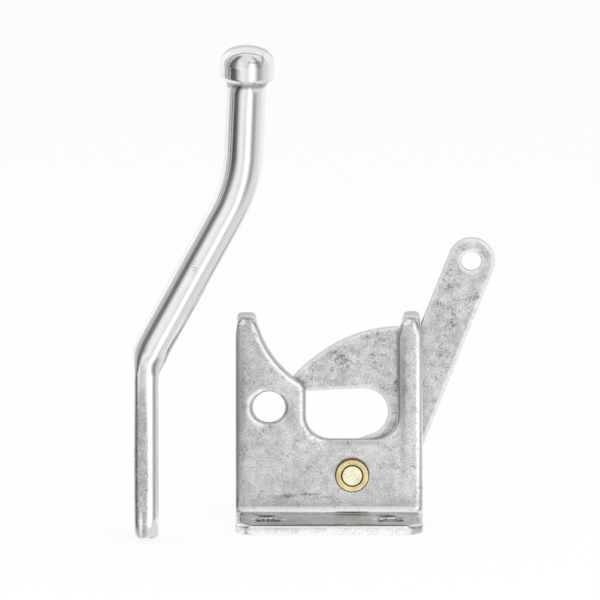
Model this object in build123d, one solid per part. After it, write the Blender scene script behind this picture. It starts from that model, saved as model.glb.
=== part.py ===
from build123d import *
import math
import os

# A self locking gate latch in two halves: the latch that goes on the post, and the striker bar
# that goes on the gate. Millimetres, +Z up, +X to the right, and the viewer on the minus Y side.
# The origin is on the seat of the latch, midway between its two fixing holes.
# The latch is one folded sheet with a foot in front, a notch for the bar and a tab on each ear.
# A flat lever turns behind the sheet on a rivet, and its horn shuts the bar into the notch.

# The folded sheet
sheet = 3.4
plate_width = 61.2
plate_height = 69.0
foot_depth = 19.0
foot_corner_radius = 6.5
foot_fold_radius = 2.4
tab_fold_radius = 1.0
edge_roll_radius = 0.6

# The tabs bent back over the lever at the top of the two ears
left_tab_width = 6.7
left_tab_depth = 9.1
left_tab_inset = 0.4
right_tab_width = 6.5
right_tab_depth = 10.8
right_tab_inset = 0.95
right_tab_corner_radius = 2.0
tab_inset_rise = 3.0

# The notch that the striker bar drops into
notch_width = 29.9
notch_offset = 7.35
notch_floor = 27.65
notch_corner_radius = 8.0
right_ear_slant_height = 61.8
right_ear_slant_radius = 2.0
left_ear_curve_radius = 33.0
left_ear_curve_foot = 45.6
left_ear_lip_radius = 4.0

# The holes in the sheet
fixing_hole_radius = 4.1
fixing_hole_spacing = 40.0
fixing_hole_setback = 9.0
padlock_hole_radius = 5.3
padlock_hole_from_edge = 10.9
padlock_hole_height = 38.4

# The rivet that the lever turns on
pivot_offset = 7.5
pivot_height = 16.1
shank_radius = 3.45
rivet_head_radius = 6.2
rivet_head_thickness = 2.2
rivet_head_round = 0.9
collar_radius = 5.6
collar_thickness = 1.6
collar_round = 0.45
tail_stand = 0.15
tail_round = 0.35
fixed_fit = 0.02
running_fit = 0.06

# The lever
lever_thickness = 2.7
lever_gap = 0.3
lever_edge_round = 0.3
hub_radius = 9.75
arm_width = 15.4
arm_lean = 21.4
pull_hole_height = 86.5
pull_hole_radius = 3.2
stop_gap = 0.25
horn_flat_length = 5.8
horn_flat_gap = 1.05
horn_back_radius = 45.0
horn_back_sweep = 32.0
horn_nose_radius = 60.0
horn_tip_radius = 3.0
horn_root_radius = 1.0
horn_under_slope = 2.7
hook_radius = 8.0
hook_offset = 11.2
hook_height = 36.2
heel_height = 15.0
heel_radius = 8.0

# The striker bar, standing on the end of its flat leg
bar_side_offset = -59.7
bar_front_offset = -14.9
bar_diameter = 13.0
bar_slope = 28.6
bar_slope_thickness = 11.8
bar_slope_width = 13.4
bar_slope_length = 65.7
bar_lower_bend_height = 59.9
bar_lower_bend_radius = 26.0
bar_upper_bend_radius = 48.0
bar_neck_length = 33.6
bar_neck_lean = 2.3
leg_thickness = 8.0
leg_width = 17.4
leg_edge_radius = 3.2
leg_hole_radius = 3.4
leg_hole_spacing = 32.0
leg_hole_first = 12.0
forging_start = 0.15
forging_end = 0.7
head_diameter = 18.0
head_height = 12.4
head_crown_radius = 15.0
head_shoulder_radius = 6.2
head_under_height = 2.1
head_under_round = 1.2

# Places that follow from the sizes above
plate_front = fixing_hole_setback
plate_back = plate_front + sheet
foot_front = plate_front - foot_depth
notch_left = notch_offset - notch_width / 2
notch_right = notch_offset + notch_width / 2
left_tab_inner = -plate_width / 2 + left_tab_width
right_tab_outer = plate_width / 2 - right_tab_inset
right_tab_inner = plate_width / 2 - right_tab_width
padlock_hole_offset = -plate_width / 2 + padlock_hole_from_edge
tab_underside = plate_height - sheet
lever_front = plate_back + lever_gap
lever_back = lever_front + lever_thickness
pivot = (pivot_offset, pivot_height)
hook = (hook_offset, hook_height)
through = 200.0
overcut = 1.0
bend_sections = 9


def polar(centre, radius, degrees):
    """Point on a circle, as a pair."""
    turn = math.radians(degrees)
    return (centre[0] + radius * math.cos(turn), centre[1] + radius * math.sin(turn))


def step_from(point, length, degrees):
    """Point reached by a straight step in one direction."""
    return polar(point, length, degrees)


def vertex_near(face, point):
    """Corner of an outline nearest to a point."""
    return face.vertices().sort_by_distance((point[0], point[1], 0))[0]


def edge_near(solid, point):
    """Edge of a solid whose middle is nearest to a point."""
    return min(solid.edges(), key=lambda edge: (edge.center() - Vector(*point)).length)


def on_front(outline, y, depth):
    """Solid made from an outline drawn in X and Z, from y towards the back."""
    return extrude(Plane.XZ.offset(-y) * outline, amount=-depth)


def hole_through(centre, radius):
    """Round punch along Y, long enough for anything here."""
    return on_front(Pos(*centre) * Circle(radius), -through / 2, through)


def folded_section():
    """The sheet seen from its end: foot in front, wall, tab bent back."""
    deepest = max(left_tab_depth, right_tab_depth) + overcut
    corners = [
        (foot_front, 0),
        (plate_back, 0),
        (plate_back, tab_underside),
        (plate_front + deepest, tab_underside),
        (plate_front + deepest, plate_height),
        (plate_front, plate_height),
        (plate_front, sheet),
        (foot_front, sheet),
    ]
    section = make_face(Polyline(*corners, close=True))
    section = fillet(vertex_near(section, (plate_back, 0)), foot_fold_radius + sheet)
    section = fillet(vertex_near(section, (plate_front, sheet)), foot_fold_radius)
    section = fillet(vertex_near(section, (plate_front, plate_height)), tab_fold_radius + sheet)
    return fillet(vertex_near(section, (plate_back, tab_underside)), tab_fold_radius)


def ear_relief(inset):
    """Cutter for the sliver that is missing from the outer side of the right ear by its tab."""
    half = plate_width / 2
    points = [
        (half, tab_underside - tab_inset_rise),
        (half + overcut, tab_underside - tab_inset_rise),
        (half + overcut, plate_height + overcut),
        (half - inset, plate_height + overcut),
        (half - inset, tab_underside),
    ]
    return on_front(make_face(Polyline(*points, close=True)), -through / 2, through)


def notch_outline():
    """The mouth and the notch in one outline, with the curved edge of the left ear."""
    top = plate_height + overcut
    curve_top = (left_tab_inner, plate_height)
    curve_foot = (notch_left, left_ear_curve_foot)
    straight = Polyline(
        curve_foot,
        (notch_left, notch_floor),
        (notch_right, notch_floor),
        (notch_right, right_ear_slant_height),
        (right_tab_inner, plate_height),
        (right_tab_inner, top),
        (left_tab_inner, top),
        curve_top,
    )
    curve = RadiusArc(curve_foot, curve_top, left_ear_curve_radius)
    outline = make_face(Curve() + [straight, curve])
    floor_corners = [
        vertex_near(outline, (notch_left, notch_floor)),
        vertex_near(outline, (notch_right, notch_floor)),
    ]
    outline = fillet(floor_corners, notch_corner_radius)
    outline = fillet(vertex_near(outline, curve_foot), left_ear_lip_radius)
    slant_foot = (notch_right, right_ear_slant_height)
    return fillet(vertex_near(outline, slant_foot), right_ear_slant_radius)


def plan_outline():
    """Outline seen from above: round corners on the foot, and a depth for each tab."""
    half = plate_width / 2
    middle = notch_offset
    points = [
        (-half, foot_front),
        (half, foot_front),
        (half, plate_front + right_tab_depth),
        (middle, plate_front + right_tab_depth),
        (middle, plate_front + left_tab_depth),
        (-half, plate_front + left_tab_depth),
    ]
    outline = make_face(Polyline(*points, close=True))
    front_corners = [vertex_near(outline, points[0]), vertex_near(outline, points[1])]
    return fillet(front_corners, foot_corner_radius)


def latch_plate():
    """The folded sheet with its notch, its holes and its rolled front edges."""
    body = extrude(Plane.YZ * folded_section(), amount=plate_width / 2, both=True)
    body = body & Pos(0, 0, -overcut) * extrude(plan_outline(), amount=through)
    body = body - on_front(notch_outline(), -through / 2, through)
    tab_middle = (plate_height + tab_underside) / 2
    tab_end = plate_front + right_tab_depth
    for side in (right_tab_inner, plate_width / 2):
        corner = edge_near(body, (side, tab_end, tab_middle))
        body = fillet(corner, right_tab_corner_radius)
    body = body - hole_through((padlock_hole_offset, padlock_hole_height), padlock_hole_radius)
    body = body - hole_through(pivot, shank_radius + fixed_fit)
    for side in (-1, 1):
        place = Pos(side * fixing_hole_spacing / 2, 0, -overcut)
        body = body - place * extrude(Circle(fixing_hole_radius), amount=sheet + 2 * overcut)
    body = roll_front_edges(body)
    return body - ear_relief(right_tab_inset) - mirror(ear_relief(left_tab_inset), Plane.YZ)


def roll_front_edges(body):
    """Round the front edge that the punch leaves on the wall, the ears and the holes."""
    front = [face for face in body.faces() if abs(face.center().Y - plate_front) < 0.001]
    wall = max(front, key=lambda face: face.area)
    seams = (foot_fold_radius + sheet, plate_height - tab_fold_radius - sheet)
    rolled = []
    for edge in wall.edges():
        on_seam = any(abs(edge.center().Z - seam) < 0.001 for seam in seams)
        if not on_seam and not is_pivot_edge(edge):
            rolled.append(edge)
    return fillet(rolled, edge_roll_radius)


def is_pivot_edge(edge):
    """True for the rim of the rivet hole, which stays square under the collar."""
    middle = edge.arc_center if edge.geom_type == GeomType.CIRCLE else edge.center()
    offset = math.hypot(middle.X - pivot_offset, middle.Z - pivot_height)
    return offset < shank_radius


def lever_outline():
    """Outline of the lever, from the hub round the heel, the arm, the horn and the hook."""
    up_arm = 90 - arm_lean
    across_arm = -arm_lean
    stop = (right_tab_outer + stop_gap / math.cos(math.radians(arm_lean)), tab_underside)
    arm_start = step_from(stop, arm_width / 2, across_arm)
    arm_length = (pull_hole_height - arm_start[1]) / math.sin(math.radians(up_arm))
    pull_hole = step_from(arm_start, arm_length, up_arm)
    right_edge = step_from(stop, arm_width, across_arm)
    heel_drop = (right_edge[1] - heel_height) / math.sin(math.radians(up_arm))
    heel = step_from(right_edge, -heel_drop, up_arm)

    flat_height = tab_underside - horn_flat_gap
    root_drop = horn_flat_gap / math.sin(math.radians(up_arm))
    root = step_from(stop, -root_drop, up_arm)
    flat_end = (root[0] - horn_flat_length, flat_height)
    back_centre = (flat_end[0], flat_height - horn_back_radius)
    nose_normal = 90 + horn_back_sweep
    nose_start = polar(back_centre, horn_back_radius, nose_normal)
    nose_centre = step_from(nose_start, -horn_nose_radius, nose_normal)

    under_normal = 90 + horn_under_slope
    under_end = polar(hook, hook_radius, under_normal)
    tip = line_meets_circle(under_end, 180 + horn_under_slope, nose_centre, horn_nose_radius)
    tip_angle = math.degrees(math.atan2(tip[1] - nose_centre[1], tip[0] - nose_centre[0]))

    reach = math.dist(hook, pivot)
    hook_bearing = math.degrees(math.atan2(hook[1] - pivot[1], hook[0] - pivot[0]))
    lip_slope = hook_bearing - math.degrees(math.asin((hook_radius + hub_radius) / reach))
    hook_end = polar(hook, hook_radius, lip_slope - 90)
    hub_start = polar(pivot, hub_radius, lip_slope + 90)
    heel_reach = math.dist(heel, pivot)
    heel_bearing = math.degrees(math.atan2(heel[1] - pivot[1], heel[0] - pivot[0]))
    hub_end_angle = 360 + heel_bearing - math.degrees(math.acos(hub_radius / heel_reach))
    hub_end = polar(pivot, hub_radius, hub_end_angle)

    edges = [
        CenterArc(pivot, hub_radius, lip_slope + 90, hub_end_angle - lip_slope - 90),
        Line(hub_end, heel),
        Line(heel, polar(pull_hole, arm_width / 2, across_arm)),
        CenterArc(pull_hole, arm_width / 2, across_arm, 180),
        Line(polar(pull_hole, arm_width / 2, across_arm + 180), root),
        Line(root, flat_end),
        CenterArc(back_centre, horn_back_radius, 90, horn_back_sweep),
        CenterArc(nose_centre, horn_nose_radius, nose_normal, tip_angle - nose_normal),
        Line(tip, under_end),
        CenterArc(hook, hook_radius, under_normal, lip_slope - 90 - under_normal),
        Line(hook_end, hub_start),
    ]
    outline = make_face(Curve() + edges)
    outline = fillet(vertex_near(outline, heel), heel_radius)
    outline = fillet(vertex_near(outline, root), horn_root_radius)
    outline = fillet(vertex_near(outline, tip), horn_tip_radius)
    return outline - Pos(*pull_hole) * Circle(pull_hole_radius)


def line_meets_circle(start, degrees, centre, radius):
    """Far point where a ray from start crosses a circle."""
    turn = math.radians(degrees)
    gap = (start[0] - centre[0], start[1] - centre[1])
    along = gap[0] * math.cos(turn) + gap[1] * math.sin(turn)
    inside = radius**2 - gap[0] ** 2 - gap[1] ** 2
    return step_from(start, -along + math.sqrt(along**2 + inside), degrees)


def latch_lever():
    """The flat lever with its hub, pull arm, horn and hook."""
    body = on_front(lever_outline(), lever_front, lever_thickness)
    flats = [lever_front, lever_back]
    rims = [edge for edge in body.edges() if min(abs(edge.center().Y - y) for y in flats) < 0.001]
    body = fillet(rims, lever_edge_round)
    return body - hole_through(pivot, shank_radius + running_fit)


def turned(profile):
    """Solid of revolution about the rivet's axis. The profile holds radius and Y."""
    centre = (pivot_offset, 0, pivot_height)
    return revolve(Pos(*centre) * profile, Axis(centre, (0, 1, 0)), 360)


def pivot_rivet():
    """Rivet with its head behind the lever and its tail set flush in the collar."""
    tail_end = plate_front - collar_thickness - tail_stand
    head_front = lever_back + lever_gap / 2
    head_end = head_front + rivet_head_thickness
    points = [
        (0, tail_end),
        (shank_radius, tail_end),
        (shank_radius, head_front),
        (rivet_head_radius, head_front),
        (rivet_head_radius, head_end),
        (0, head_end),
    ]
    profile = make_face(Polyline(*points, close=True))
    profile = fillet(vertex_near(profile, points[1]), tail_round)
    profile = fillet(vertex_near(profile, points[4]), rivet_head_round)
    return turned(profile)


def rivet_collar():
    """Yellow collar under the rivet's tail, seated on the front of the plate."""
    inner = shank_radius + fixed_fit
    front = plate_front - collar_thickness
    points = [(inner, front), (collar_radius, front), (collar_radius, plate_front), (inner, plate_front)]
    profile = make_face(Polyline(*points, close=True))
    profile = fillet(vertex_near(profile, points[1]), collar_round)
    return turned(profile)


def bar_section(point, lean, size):
    """Section of the bar square to its axis. The size is its thickness, width and corner radius."""
    plane = Plane(
        (point[0], bar_front_offset, point[1]),
        x_dir=(math.cos(math.radians(lean)), 0, -math.sin(math.radians(lean))),
        z_dir=(math.sin(math.radians(lean)), 0, math.cos(math.radians(lean))),
    )
    return plane * RectangleRounded(*size)


def full_round(thickness, width):
    """Size of a section whose corners meet in a round, short of a seam."""
    return (thickness, width, min(thickness, width) / 2 - 0.01)


def eased(share):
    """Smooth step from 0 to 1."""
    held = min(max(share, 0), 1)
    return held * held * (3 - 2 * held)


def bend_reach(radius, turn):
    """Length of straight that a bend takes on each side of its corner."""
    return radius * math.tan(math.radians(abs(turn)) / 2)


def bent_length(corner, leans, radius, sizes, change):
    """Loft round a bend from one lean and size to another, and change says over which share."""
    turn = leans[1] - leans[0]
    side = math.copysign(radius, turn)
    start = step_from(corner, -bend_reach(radius, turn), 90 - leans[0])
    centre = step_from(start, side, -leans[0])
    sections = []
    for number in range(bend_sections):
        share = number / (bend_sections - 1)
        lean = leans[0] + turn * share
        grown = eased((share - change[0]) / (change[1] - change[0]))
        size = [a + (b - a) * grown for a, b in zip(sizes[0], sizes[1])]
        sections.append(bar_section(step_from(centre, -side, -lean), lean, size))
    return loft(sections)


def striker_bar():
    """Forged bar: flat leg with screw holes, a cranked round bar and a domed head."""
    flat = (leg_thickness, leg_width, leg_edge_radius)
    oval = full_round(bar_slope_thickness, bar_slope_width)
    round_bar = full_round(bar_diameter, bar_diameter)
    lower_reach = bend_reach(bar_lower_bend_radius, bar_slope)
    upper_reach = bend_reach(bar_upper_bend_radius, bar_slope - bar_neck_lean)
    up_slope = 90 - bar_slope
    up_neck = 90 - bar_neck_lean

    foot = (bar_side_offset, 0)
    lower = (bar_side_offset, bar_lower_bend_height)
    slope_start = step_from(lower, lower_reach, up_slope)
    upper = step_from(lower, bar_slope_length, up_slope)
    neck_start = step_from(upper, upper_reach, up_neck)
    neck = step_from(upper, bar_neck_length, up_neck)

    leg = extrude(bar_section(foot, 0, flat), amount=bar_lower_bend_height - lower_reach)
    leg = leg & leg_side_view()
    forging = (forging_start, forging_end)
    lower_bend = bent_length(lower, (0, bar_slope), bar_lower_bend_radius, (flat, oval), forging)
    slope_length = bar_slope_length - lower_reach - upper_reach
    slope = extrude(bar_section(slope_start, bar_slope, oval), amount=slope_length)
    leans = (bar_slope, bar_neck_lean)
    upper_bend = bent_length(upper, leans, bar_upper_bend_radius, (oval, round_bar), (0, 1))
    neck_length = bar_neck_length - upper_reach
    straight = extrude(bar_section(neck_start, bar_neck_lean, round_bar), amount=neck_length)
    return leg + lower_bend + slope + upper_bend + straight + bar_head(neck)


def leg_side_view():
    """The leg seen along X: a full round end and two screw holes."""
    half = leg_width / 2
    tall = bar_lower_bend_height
    strap = Pos(0, half) * Circle(half)
    strap = strap + Pos(0, (half + tall) / 2) * Rectangle(leg_width, tall - half)
    for number in range(2):
        height = leg_hole_first + number * leg_hole_spacing
        strap = strap - Pos(0, height) * Circle(leg_hole_radius)
    side = Plane((bar_side_offset, bar_front_offset, 0), x_dir=(0, 1, 0), z_dir=(1, 0, 0))
    return extrude(side * strap, amount=leg_width, both=True)


def bar_head(neck):
    """Domed head turned about the bar's own axis."""
    turn = math.radians(bar_neck_lean)
    ahead = (math.sin(turn), 0, math.cos(turn))
    plane = Plane((neck[0], bar_front_offset, neck[1]), x_dir=(0, 1, 0), z_dir=(ahead[2], 0, -ahead[0]))
    side = head_diameter / 2
    crown_drop = head_crown_radius - math.sqrt(head_crown_radius**2 - side**2)
    rim = (side, head_height - crown_drop)
    under = (side, head_under_height)
    straight = Polyline((0, head_height), (0, -overcut), (bar_diameter / 2, -overcut))
    neck_side = Polyline((bar_diameter / 2, -overcut), (bar_diameter / 2, 0), under, rim)
    crown = RadiusArc(rim, (0, head_height), -head_crown_radius)
    profile = make_face(Curve() + [straight, neck_side, crown])
    profile = fillet(vertex_near(profile, rim), head_shoulder_radius)
    profile = fillet(vertex_near(profile, under), head_under_round)
    return revolve(plane * profile, Axis(plane.origin, ahead), 360)


pieces = {
    "latch_plate": latch_plate,
    "latch_lever": latch_lever,
    "pivot_rivet": pivot_rivet,
    "rivet_collar": rivet_collar,
    "striker_bar": striker_bar,
}

os.makedirs("parts", exist_ok=True)
for name, make in pieces.items():
    solid = make()
    export_step(solid, f"parts/{name}.step")
    print(name, round(solid.volume, 1), solid.is_valid)
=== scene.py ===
# %% [markdown]
# # A gate latch in two halves
# The latch bracket is a thick zinc plated sheet, punched flat and then folded. A flat lever turns
# behind it on a yellow rivet. The striker bar stands beside it, forged from one bar. This script
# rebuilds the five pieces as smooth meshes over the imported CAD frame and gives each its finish.

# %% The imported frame
from math import acos, asin, atan, atan2, ceil, copysign, cos, degrees, dist, pi, radians, sin, sqrt, tan

import bmesh
import bpy
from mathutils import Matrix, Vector


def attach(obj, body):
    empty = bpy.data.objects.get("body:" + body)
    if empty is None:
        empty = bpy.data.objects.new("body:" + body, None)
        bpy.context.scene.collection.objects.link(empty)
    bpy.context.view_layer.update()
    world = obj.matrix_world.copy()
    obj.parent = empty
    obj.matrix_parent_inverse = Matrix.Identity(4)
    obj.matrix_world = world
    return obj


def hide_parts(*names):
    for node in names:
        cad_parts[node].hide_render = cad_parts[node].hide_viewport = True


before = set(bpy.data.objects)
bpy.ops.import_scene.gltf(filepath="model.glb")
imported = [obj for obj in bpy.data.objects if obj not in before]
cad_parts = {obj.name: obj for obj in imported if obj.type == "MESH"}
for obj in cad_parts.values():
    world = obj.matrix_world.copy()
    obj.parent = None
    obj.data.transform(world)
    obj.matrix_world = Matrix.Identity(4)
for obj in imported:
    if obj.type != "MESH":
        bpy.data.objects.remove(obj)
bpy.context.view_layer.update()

MM = 0.001


# %% [markdown]
# ## The camera
# The photograph shows no perspective, so the camera stands far away with a long lens. It looks down
# by the angle at which the round holes have their photographed height and width. One pixel of the
# photograph is 0.3265 mm on the front of the plate.

# %% The camera
PIXEL = 0.3265
PIXELS_ACROSS = 600
SENSOR = 36
ELEVATION = radians(11.4)
SHEET_FRONT = 9.0
CAMERA_DISTANCE = 8.0


def new_object(name, data):
    """Object in the scene for a mesh, a curve, a lamp or a camera."""
    made = bpy.data.objects.new(name, data)
    bpy.context.scene.collection.objects.link(made)
    return made


def mesh_from(work, name):
    """Mesh from a bmesh, which is then freed."""
    mesh = bpy.data.meshes.new(name)
    work.to_mesh(mesh)
    work.free()
    return mesh


camera_data = bpy.data.cameras.new("photo_camera")
camera_data.sensor_width = SENSOR
camera_data.lens = SENSOR * CAMERA_DISTANCE / (PIXELS_ACROSS * PIXEL * MM)
camera_data.clip_start = 0.05
camera_data.clip_end = 50
camera = new_object("photo_camera", camera_data)
backward = Vector((0, -cos(ELEVATION), sin(ELEVATION)))
aim = Vector((-9.57, SHEET_FRONT, 72.97 / cos(ELEVATION))) * MM
camera.location = aim + backward * CAMERA_DISTANCE
camera.rotation_euler = (-backward).to_track_quat("-Z", "Y").to_euler()
bpy.context.scene.camera = camera
bpy.context.scene.view_settings.view_transform = "Standard"
print("lens", round(camera_data.lens, 1), "mm at", CAMERA_DISTANCE, "m")

# %% [markdown]
# ## Helpers for node trees
# Every tree below is made of the same steps: open a group with named sockets, add a node with its
# settings, and give each of its inputs a number or a link. A helper does each of them.

# %% Node helpers
SOCKET_KINDS = {float: "NodeSocketFloat", int: "NodeSocketInt", tuple: "NodeSocketVector"}


def open_group(name, kind, inputs, outputs):
    """A node group. Each input has its first value or its kind of socket, and each output its kind."""
    tree = bpy.data.node_groups.new(name, kind)
    for title, value in inputs.items():
        socket_type = SOCKET_KINDS.get(type(value), value)
        socket = tree.interface.new_socket(name=title, in_out="INPUT", socket_type=socket_type)
        if value is not socket_type:
            socket.default_value = value
    for title, socket_type in outputs.items():
        tree.interface.new_socket(name=title, in_out="OUTPUT", socket_type=socket_type)
    return tree, tree.nodes.new("NodeGroupInput").outputs, tree.nodes.new("NodeGroupOutput")


def fill(node, values):
    """Give each named or numbered input of a node a number or a link."""
    for key, value in dict(values).items():
        value = getattr(value, "socket", value)
        if isinstance(value, bpy.types.NodeSocket):
            node.id_data.links.new(value, node.inputs[key])
        else:
            node.inputs[key].default_value = value
    return node


def add_node(tree, kind, values=(), **settings):
    """A node with its settings, and then its inputs filled."""
    node = tree.nodes.new(kind)
    for key, value in settings.items():
        setattr(node, key, value)
    return fill(node, values)


# %% [markdown]
# Sums are the most common nodes. So a number in a tree is given Python's own signs: a sum written
# with them adds the nodes for it, and each finish below reads as plain arithmetic.

# %% Numbers in a tree
class Number:
    """A number in a node tree. A sum on it adds the node for that sum."""

    def __init__(self, socket):
        self.socket = socket

    def __add__(self, other):
        return calc("ADD", self, other)

    def __radd__(self, other):
        return calc("ADD", other, self)

    def __sub__(self, other):
        return calc("SUBTRACT", self, other)

    def __rsub__(self, other):
        return calc("SUBTRACT", other, self)

    def __mul__(self, other):
        return calc("MULTIPLY", self, other)

    def __truediv__(self, other):
        return calc("DIVIDE", self, other)

    def __rtruediv__(self, other):
        return calc("DIVIDE", other, self)

    def __abs__(self):
        return calc("ABSOLUTE", self)


def tree_of(*values):
    """The tree that the first socket among the values is in."""
    sockets = [getattr(value, "socket", value) for value in values]
    return next(socket.id_data for socket in sockets if isinstance(socket, bpy.types.NodeSocket))


def calc(operation, *values):
    """The result of one sum, in a shader or a geometry tree."""
    node = add_node(tree_of(*values), "ShaderNodeMath", enumerate(values), operation=operation)
    return Number(node.outputs[0])


def vector_calc(operation, *values):
    """The result of one sum on vectors, which is a number for a length."""
    keys = ["Scale" if operation == "SCALE" and i == 1 else i for i in range(len(values))]
    node = add_node(tree_of(*values), "ShaderNodeVectorMath", zip(keys, values), operation=operation)
    return Number(node.outputs["Value"]) if operation == "LENGTH" else node.outputs["Vector"]


def fade(value, start, end):
    """Smooth step that is 0 at start and 1 at end."""
    values = {"Value": value, "From Min": start, "From Max": end}
    node = add_node(tree_of(value), "ShaderNodeMapRange", values, interpolation_type="SMOOTHSTEP")
    return Number(node.outputs["Result"])


def noise(vector, scale, detail, **more):
    """Noise about 0.5 in a pattern of its own size."""
    values = {"Vector": vector, "Scale": scale, "Detail": detail} | more
    return Number(add_node(tree_of(vector), "ShaderNodeTexNoise", values).outputs["Fac"])


# %% [markdown]
# ## The finishes
# Zinc plate is a bright metal with a crystal grain, and handling leaves it mottled. The mottle is
# noise at three sizes: broad blotches, a mottle of a few millimetres and a fine grain. One group makes
# it for the sheet, the lever and the bar, each with its own strengths.

# %% The zinc mottle
def zinc_mottle():
    inputs = {"Vector": "NodeSocketVector", "Blotches": 0.2, "Mottle": 0.2, "Grain": 0.2}
    outputs = {"Tone": "NodeSocketFloat", "Height": "NodeSocketFloat"}
    tree, given, end = open_group("zinc_mottle", "ShaderNodeTree", inputs, outputs)

    def swing(title, scale, detail):
        return (noise(given["Vector"], scale, detail, Roughness=0.6) - 0.5) * given[title]

    blotches = swing("Blotches", 70, 2)
    mottle = swing("Mottle", 330, 3)
    grain = swing("Grain", 1900, 3)
    fill(end, {"Tone": 0.5 + blotches + mottle + grain, "Height": mottle + grain})
    return tree


MOTTLE = zinc_mottle()

# %% [markdown]
# Small dark marks sit in the plating in loose clusters. They come from a stretched noise that is
# cut at a high value, and a second, broader noise keeps them in clusters.

# %% The dark marks
def dark_marks():
    inputs = {"Vector": "NodeSocketVector", "Size": 700.0, "Cut": 0.62, "Clusters": 110.0}
    tree, given, end = open_group("dark_marks", "ShaderNodeTree", inputs, {"Mask": "NodeSocketFloat"})
    cut = Number(given["Cut"])
    marks = fade(noise(given["Vector"], given["Size"], 2.0, Distortion=1.2), cut, cut + 0.07)
    clusters = fade(noise(given["Vector"], given["Clusters"], 1.0), 0.47, 0.6)
    fill(end, {"Mask": marks * clusters})
    return tree


MARKS = dark_marks()

# %% [markdown]
# Handling also leaves local marks, a scuff or a nick, and painted shade and painted highlights are
# placed the same way. Each is a soft box on the object's own coordinates, in millimetres, so it stays
# where the photograph shows it from every side.

# %% A local patch
def local_patch():
    inputs = {"Vector": "NodeSocketVector", "Centre": (0, 0, 0), "Half size": (1, 1, 1), "Softness": 0.5}
    tree, given, end = open_group("local_patch", "ShaderNodeTree", inputs, {"Mask": "NodeSocketFloat"})
    place = vector_calc("SCALE", given["Vector"], 1 / MM)
    offset = vector_calc("SUBTRACT", place, given["Centre"])
    reach = vector_calc("LENGTH", vector_calc("DIVIDE", offset, given["Half size"]))
    fill(end, {"Mask": 1.0 - fade(reach, 1.0 - Number(given["Softness"]), 1.0)})
    return tree


PATCH = local_patch()

# %% [markdown]
# Every finish then takes the same few steps: a metal with its roughness, the groups placed on the
# piece's own coordinates, a tone that is turned into a colour, and a little relief.

# %% Steps of a finish
def open_material(name, roughness):
    """A metal with its Principled shader and Object coordinates."""
    material = bpy.data.materials.new(name)
    material.use_nodes = True
    tree = material.node_tree
    shader = fill(tree.nodes["Principled BSDF"], {"Metallic": 1.0, "Roughness": roughness})
    return material, shader, tree.nodes.new("ShaderNodeTexCoord").outputs["Object"]


def use(group, place, **values):
    """The results of a shader group on a piece's coordinates. Inputs are in small letters."""
    inputs = {key.replace("_", " ").capitalize(): value for key, value in values.items()}
    node = add_node(place.id_data, "ShaderNodeGroup", {"Vector": place} | inputs, node_tree=group)
    return {socket.name: Number(socket) for socket in node.outputs}


def patch(place, centre, half, softness):
    """Mask of one local patch."""
    return use(PATCH, place, centre=centre, half_size=half, softness=softness)["Mask"]


def with_patches(tone, place, rows):
    """Tone with the patches added. Each row is a centre, half size, softness and strength."""
    for centre, half, softness, strength in rows:
        tone = tone + patch(place, centre, half, softness) * strength
    return tone


def attribute(tree, name, output):
    """What a mesh attribute gives a shader."""
    return add_node(tree, "ShaderNodeAttribute", attribute_name=name).outputs[output]


def between(share, dark, light):
    """Colour between two named colours."""
    values = {0: share, 6: (*dark, 1), 7: (*light, 1)}
    return add_node(tree_of(share), "ShaderNodeMix", values, data_type="RGBA", clamp_factor=True).outputs[2]


def bump(height, strength, distance):
    """Relief from a height that changes over the surface."""
    values = {"Height": height, "Strength": strength, "Distance": distance}
    return add_node(tree_of(height), "ShaderNodeBump", values).outputs["Normal"]


# %% [markdown]
# ### The folded sheet
# The sheet is dull zinc. Its rolled edges are worn bright and carry a painted highlight, and the metal
# where it was drawn out over the bends is bright too. The left side is darker, with a painted dark
# reflection along the left edge, beside the padlock hole and on the inner side of the right ear, and a
# few scuffs lie low on the wall. Painted shade and painted highlights also lie on the notch, the right
# edge, the folds, the foot and its holes. Each row below is one of these places.

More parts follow.
